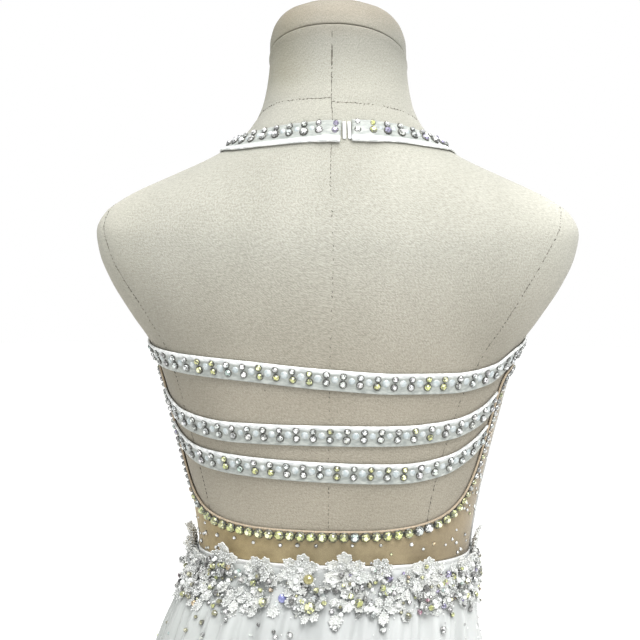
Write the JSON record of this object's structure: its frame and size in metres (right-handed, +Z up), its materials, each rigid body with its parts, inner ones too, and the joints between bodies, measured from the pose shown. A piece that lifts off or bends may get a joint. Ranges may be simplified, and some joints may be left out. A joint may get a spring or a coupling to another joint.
{
  "type": "lyrical dance dress on a limbless dress form",
  "caption": "Lyrical dance dress with a halter bodice, strapped open back, lace flowers at the waist and a gathered skirt, on a limbless linen dress form with a round stand.",
  "frame": {"origin": "centre of the round foot's underside, on the floor", "axes": "+Z up; the dress's front faces -Y and its back +Y; the wearer's left is +X"},
  "size_m": [0.5755, 0.4879, 1.4695],
  "materials": {
    "linen": "plain woven linen cover, pale greige, fine visible weave",
    "painted_iron": "dark satin paint",
    "steel": "brushed tube",
    "white_spandex": "glossy white spandex over elastic",
    "nude_mesh": "fine nude stretch mesh",
    "chiffon": "cool white translucent chiffon",
    "lace": "white three-dimensional lace with beads and sequins",
    "clear_plastic": "milky clear moulded plastic"
  },
  "bodies": {
    "root": {"form_torso": "linen", "form_neck_cap": "linen", "stand_base": "painted_iron", "base_collar": "painted_iron", "stand_pole": "steel", "flange_collar": "painted_iron", "stand_flange": "painted_iron", "bodice_front": "white_spandex", "bodice_back_mesh": "nude_mesh", "back_edge_binding": "nude_mesh", "back_strap_top": "white_spandex", "back_strap_middle": "white_spandex", "back_strap_lower": "white_spandex", "neck_strap_left": "white_spandex", "neck_strap_right": "white_spandex", "neck_clasp_hook": "clear_plastic", "neck_clasp_bar": "clear_plastic", "waist_band": "white_spandex", "skirt_back": "chiffon", "skirt_front": "chiffon", "waist_lace": "lace", "lace_flower_01": "lace", "lace_flower_02": "lace", "lace_flower_03": "lace", "lace_flower_04": "lace", "lace_flower_05": "lace", "lace_flower_06": "lace", "lace_flower_07": "lace", "lace_flower_08": "lace", "lace_flower_09": "lace", "lace_flower_10": "lace", "lace_flower_11": "lace", "lace_flower_12": "lace", "lace_flower_13": "lace", "lace_flower_14": "lace", "lace_flower_15": "lace", "lace_flower_16": "lace", "lace_flower_17": "lace"}
  },
  "joints": []
}
